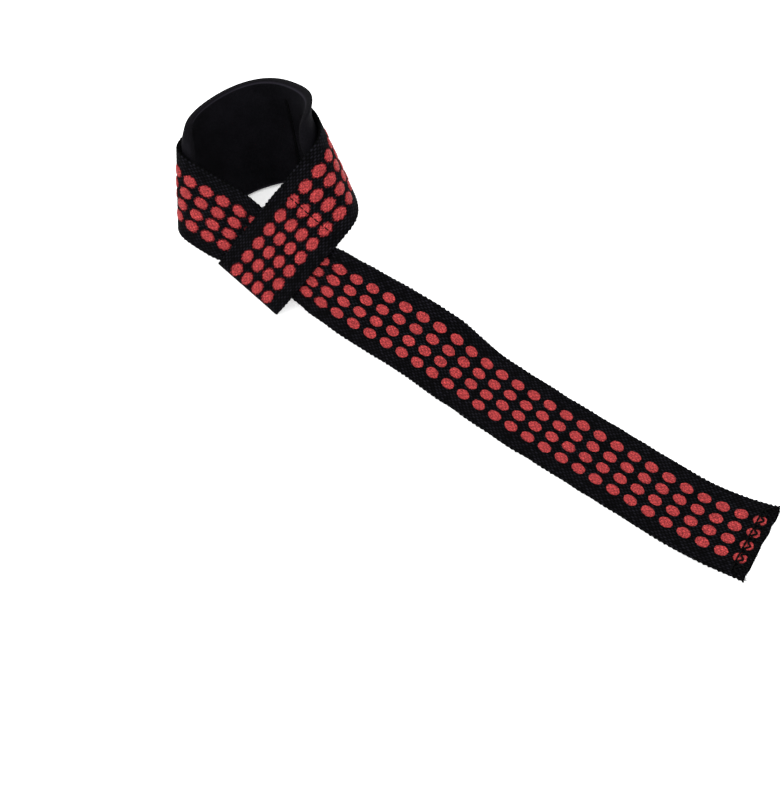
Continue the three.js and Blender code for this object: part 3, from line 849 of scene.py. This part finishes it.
# %% Frayed yarn ends and edge fuzz
FIBRE_TAPER = np.array([1, 1, 0.9, 0.8, 0.6, 0.3])
FIBRE_BEND = 0.35
YARN_RADIUS = 0.14
FUZZ_RADIUS = 0.05
FUZZ_COUNT = 600
TUFT_BEGIN = 17.6
INSIDE_CUT = 0.985
FUZZ_ROOT = 18.9


def fibre_lines(roots, directions, lengths):
    """Each fibre's line: out along its direction, and off it with the square of the way."""
    t = np.linspace(0, 1, len(FIBRE_TAPER))[:, None]
    bend = rng.normal(0, FIBRE_BEND, (len(roots), 3))
    way = lengths[:, None, None] * t
    return roots[:, None] + way * unit(directions)[:, None] + way * t * bend[:, None]


# Along the whole cut, and a tuft at each corner
all_along = rng.uniform(-18.8, 18.8, 90)
far_tuft = rng.uniform(TUFT_BEGIN, 18.9, 14)
near_tuft = rng.uniform(-18.9, -17.8, 10)
end_w = np.concatenate([all_along, far_tuft, near_tuft])
end_out = rng.uniform(-0.7, 0.7, len(end_w))
end_q = 0.6 + corner_wear(end_w)
in_tuft = np.abs(end_w) > TUFT_BEGIN
roots = band_point(end_q, end_w * INSIDE_CUT, end_out)
away = roots - band_point(end_q + 3, end_w * INSIDE_CUT, end_out)
away = away + rng.normal(0, 1.0, away.shape) + 0.5 * in_tuft[:, None] * away
lengths = rng.uniform(0.3, 0.8, len(end_w)) + 0.5 * in_tuft
yarn_lines = fibre_lines(roots, away, lengths)
tufts = threads("frayed_yarns", yarn_lines, FIBRE_TAPER * YARN_RADIUS, 6, cotton)

edge_q = rng.uniform(3, BAND_LENGTH - 2, FUZZ_COUNT)
edge_side = rng.choice([-1.0, 1.0], FUZZ_COUNT)
edge_out = rng.uniform(-0.5, 0.8, FUZZ_COUNT)
roots = band_point(edge_q, edge_side * FUZZ_ROOT, edge_out)
outward = unit(roots - band_point(edge_q, edge_side * (FUZZ_ROOT - 2), edge_out))
away = outward + rng.normal(0, 0.5, (FUZZ_COUNT, 3))
fuzz_lines = fibre_lines(roots, away, rng.uniform(0.2, 0.55, FUZZ_COUNT))
fuzz = threads("edge_fuzz", fuzz_lines, FIBRE_TAPER * FUZZ_RADIUS, 4, cotton)

# %% [markdown]
# ## Floor, light and camera
#
# The strap lies on white paper over a light table, whose glow washes the shadows out. One large soft
# light stands at the left, as in a product photograph, a weaker one fills the right side, and the
# pale world lights the rest. The camera looks down steeply, from the place that the even steps of
# the dots give.

# %% Studio
FLOOR_SIZE = 4.0
FLOOR_DROP = 0.00005
PAPER_GLOW = 0.4
WORLD_STRENGTH = 1.5

bpy.ops.mesh.primitive_plane_add(size=FLOOR_SIZE, location=(0, 0, -FLOOR_DROP))
floor = bpy.context.object
floor.name = "studio_floor"
paper, tree, shader = new_material("lit_white_paper", Roughness=0.7, Specular_IOR_Level=0.2)
shader.inputs["Base Color"].default_value = srgb("#F4F4F3")
shader.inputs["Emission Color"].default_value = srgb("#F4F4F3")
shader.inputs["Emission Strength"].default_value = PAPER_GLOW
floor.data.materials.append(paper)

world = bpy.data.worlds.new("pale_studio")
bpy.context.scene.world = world
world.use_nodes = True
world.node_tree.nodes["Background"].inputs[0].default_value = srgb("#F3F4F6")
world.node_tree.nodes["Background"].inputs[1].default_value = WORLD_STRENGTH

CAMERA_AZIMUTH = math.radians(34.66)
CAMERA_ELEVATION = math.radians(65.16)
CAMERA_DISTANCE = 0.5522
CAMERA_TARGET = np.array([-0.0139, -0.0475, 0.0])
CAMERA_LENS = 51.75

picture_right = np.array([math.cos(CAMERA_AZIMUTH), math.sin(CAMERA_AZIMUTH), 0])
picture_back = np.array([-math.sin(CAMERA_AZIMUTH), math.cos(CAMERA_AZIMUTH), 0])


def soft_light(name, right, back, up, size, watts):
    """A square area light, placed by how far right, back and up it is in the picture, that faces
    the strap."""
    data = bpy.data.lights.new(name, "AREA")
    data.size = size
    data.energy = watts
    light = bpy.data.objects.new(name, data)
    place = picture_right * right + picture_back * back + np.array([0, 0, up])
    light.location = place
    light.rotation_euler = (-light.location).to_track_quat("-Z", "Y").to_euler()
    bpy.context.scene.collection.objects.link(light)


soft_light("key_light", -0.5, -0.1, 0.8, 0.8, 4.0)
soft_light("fill_light", 0.6, 0.3, 0.8, 0.9, 2.2)

camera = bpy.data.objects.new("camera", bpy.data.cameras.new("camera"))
toward = np.array([
    math.sin(CAMERA_AZIMUTH) * math.cos(CAMERA_ELEVATION),
    -math.cos(CAMERA_AZIMUTH) * math.cos(CAMERA_ELEVATION),
    math.sin(CAMERA_ELEVATION),
])
camera.location = CAMERA_TARGET + CAMERA_DISTANCE * toward
camera.rotation_euler = Vector(-toward).to_track_quat("-Z", "Y").to_euler()
camera.data.lens = CAMERA_LENS
camera.data.sensor_width = 36
bpy.context.scene.collection.objects.link(camera)
bpy.context.scene.camera = camera
bpy.context.scene.view_settings.view_transform = "Standard"

# %% [markdown]
# ## What each piece stands for
#
# The pieces ride on the part's only body, since nothing on a strap is hinged. The band and its dots
# stand for the CAD band, the foam for the CAD pad.

# %% Declarations
for piece in (webbing, dots, pad, seams, bar, pad_seam, tufts, fuzz):
    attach(piece, "root")
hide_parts("webbing_strap")
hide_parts("webbing_strap")
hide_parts("wrist_pad")
